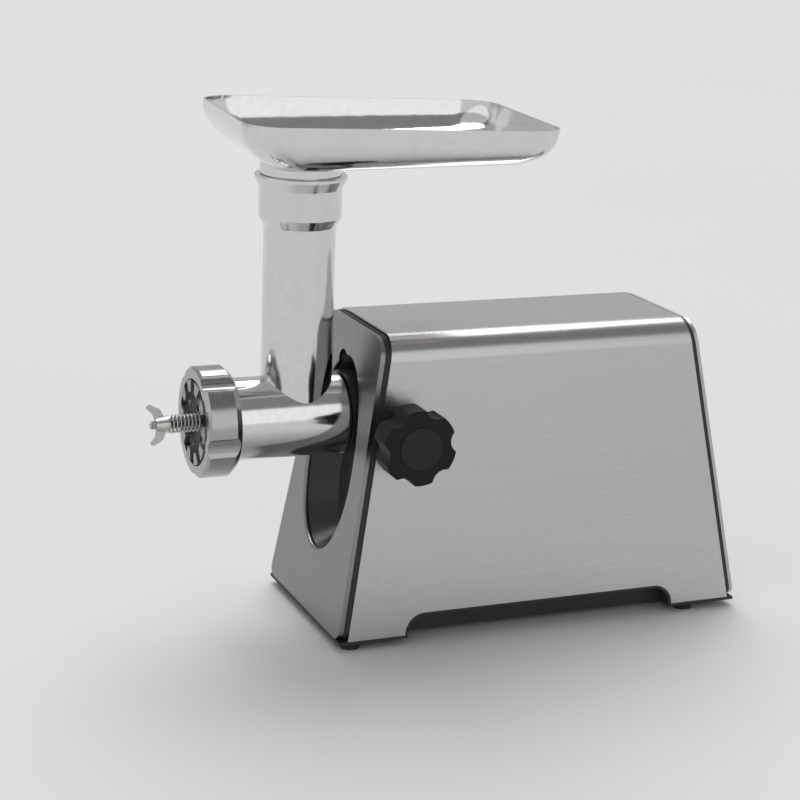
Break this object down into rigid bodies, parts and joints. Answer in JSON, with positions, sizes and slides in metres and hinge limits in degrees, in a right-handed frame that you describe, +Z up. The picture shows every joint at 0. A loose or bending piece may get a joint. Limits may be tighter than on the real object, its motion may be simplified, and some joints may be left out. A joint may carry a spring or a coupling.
{
  "type": "electric grinder",
  "caption": "Countertop electric grinder: tapered steel motor housing, plug-in cast head with feed tube and tray, ring nut, milling burr with spring and wing nut, side lock knob.",
  "frame": {"origin": "middle of the outline, on the table", "axes": "+X along the drive axis towards the rear, +Y away from the knob side, +Z up"},
  "size_m": [0.4678, 0.2032, 0.3965],
  "materials": {
    "wrap_steel": "brushed along its length",
    "panel_silver": "satin silver",
    "rear_silver": "satin silver",
    "seam_rubber": "matt black",
    "liner_plastic": "matt charcoal",
    "base_plastic": "matt black",
    "foot_rubber": "matt black",
    "head_casting": "polished casting",
    "ring_casting": "satin casting",
    "burr_iron": "tinned",
    "auger_casting": "satin casting",
    "stud_steel": "bright",
    "spring_steel": "bright",
    "washer_steel": "bright",
    "seat_steel": "dark",
    "wing_steel": "plated",
    "tray_metal": "polished",
    "knob_plastic": "matt black",
    "cap_plastic": "satin black",
    "screw_steel": "zinc plated",
    "switch_plastic": "gloss black",
    "rocker_plastic": "gloss black",
    "gland_rubber": "matt black",
    "bush_brass": "sintered",
    "nylon": "natural nylon",
    "gear_steel": "cut steel",
    "chassis_steel": "galvanised",
    "gearbox_casting": "die cast",
    "motor_paint": "plated can",
    "magnet_ferrite": "matt",
    "rotor_steel": "laminated",
    "copper": "bare",
    "carbon": "matt",
    "bearing_steel": "ground",
    "fan_plastic": "matt"
  },
  "bodies": {
    "housing": {"housing_wrap": "wrap_steel", "base": "base_plastic", "feet": "foot_rubber", "foot_screws": "screw_steel", "front_panel": "panel_silver", "front_seam": "seam_rubber", "recess_liner": "liner_plastic", "rear_panel": "rear_silver", "rear_seam": "seam_rubber", "rear_screws": "screw_steel", "switch_body": "switch_plastic", "cord_gland": "gland_rubber", "head_socket": "liner_plastic", "thread_insert": "bush_brass", "chassis_bracket": "chassis_steel", "chassis_screws": "screw_steel", "socket_screws": "screw_steel", "gearbox_screws": "screw_steel", "gearbox_housing": "gearbox_casting", "motor_screws": "screw_steel", "output_front_bush": "bush_brass", "output_rear_bush": "bush_brass", "idler_bushes": "bush_brass", "motor_can": "motor_paint", "motor_magnets": "magnet_ferrite", "brushes": "carbon", "motor_bell": "gearbox_casting", "motor_bearings": "bearing_steel", "motor_saddle": "foot_rubber"},
    "rocker": {"power_rocker": "rocker_plastic"},
    "plunger": {"lock_plunger": "screw_steel"},
    "knob": {"lock_knob": "knob_plastic", "knob_cap": "cap_plastic", "lock_stud": "screw_steel"},
    "head": {"grinder_head": "head_casting", "head_bush": "nylon", "outer_burr": "burr_iron"},
    "tray": {"feed_tray": "tray_metal"},
    "ring": {"ring_nut": "ring_casting"},
    "screw_auger": {"auger": "auger_casting", "auger_drive": "stud_steel", "inner_burr": "burr_iron", "burr_stud": "stud_steel", "spring_seat": "seat_steel", "burr_spring": "spring_steel"},
    "washer": {"front_washer": "washer_steel"},
    "wing": {"wing_nut": "wing_steel"},
    "output": {"output_shaft": "gear_steel", "output_gear": "gear_steel"},
    "idler": {"idler_shaft": "gear_steel", "idler_gear": "nylon", "idler_pinion": "gear_steel"},
    "rotor": {"motor_shaft": "gear_steel", "motor_pinion": "gear_steel", "rotor_core": "rotor_steel", "commutator": "copper", "cooling_fan": "fan_plastic"}
  },
  "joints": [
    {"name": "power_rock", "type": "hinge", "parent": "housing", "child": "rocker", "pos_m": [0.19421, 0.00944, 0.20003], "axis": [0, 1, 0], "range_deg": [-12, 12]},
    {"name": "lock_travel", "type": "slide", "parent": "housing", "child": "plunger", "axis": [0, -1, 0], "range_m": [0, 0.0045]},
    {"name": "lock_turn", "type": "hinge", "parent": "plunger", "child": "knob", "pos_m": [-0.06074, 0.00944, 0.165], "axis": [0, -1, 0], "range_deg": [0, 1080]},
    {"name": "head_release", "type": "slide", "parent": "housing", "child": "head", "axis": [-1, 0, 0], "range_m": [0, 0.06]},
    {"name": "tray_lift", "type": "slide", "parent": "head", "child": "tray", "axis": [0, 0, 1], "range_m": [0, 0.06]},
    {"name": "ring_turn", "type": "hinge", "parent": "head", "child": "ring", "pos_m": [-0.11874, 0.00944, 0.165], "axis": [-1, 0, 0], "range_deg": [0, 540]},
    {"name": "auger_spin", "type": "hinge", "parent": "head", "child": "screw_auger", "pos_m": [-0.11874, 0.00944, 0.165], "axis": [1, 0, 0], "continuous": true},
    {"name": "washer_travel", "type": "slide", "parent": "screw_auger", "child": "washer", "axis": [-1, 0, 0], "range_m": [-0.002, 0.004], "deforming": ["burr_spring"]},
    {"name": "wing_turn", "type": "hinge", "parent": "washer", "child": "wing", "pos_m": [-0.11874, 0.00944, 0.165], "axis": [-1, 0, 0], "range_deg": [-720, 1440]},
    {"name": "output_spin", "type": "hinge", "parent": "housing", "child": "output", "pos_m": [-0.11874, 0.00944, 0.165], "axis": [1, 0, 0], "continuous": true},
    {"name": "idler_spin", "type": "hinge", "parent": "housing", "child": "idler", "pos_m": [-0.11874, -0.01456, 0.11831], "axis": [1, 0, 0], "continuous": true},
    {"name": "motor_spin", "type": "hinge", "parent": "housing", "child": "rotor", "pos_m": [-0.11874, 0.00944, 0.09147], "axis": [1, 0, 0], "continuous": true}
  ],
  "couplings": [
    {"joint": "lock_travel", "follows": "lock_turn", "m_per_rad": 0.00023873},
    {"joint": "washer_travel", "follows": "wing_turn", "m_per_rad": 0.00015915},
    {"joint": "auger_spin", "follows": "output_spin", "ratio": 1},
    {"joint": "idler_spin", "follows": "output_spin", "ratio": -6},
    {"joint": "motor_spin", "follows": "output_spin", "ratio": 42}
  ]
}
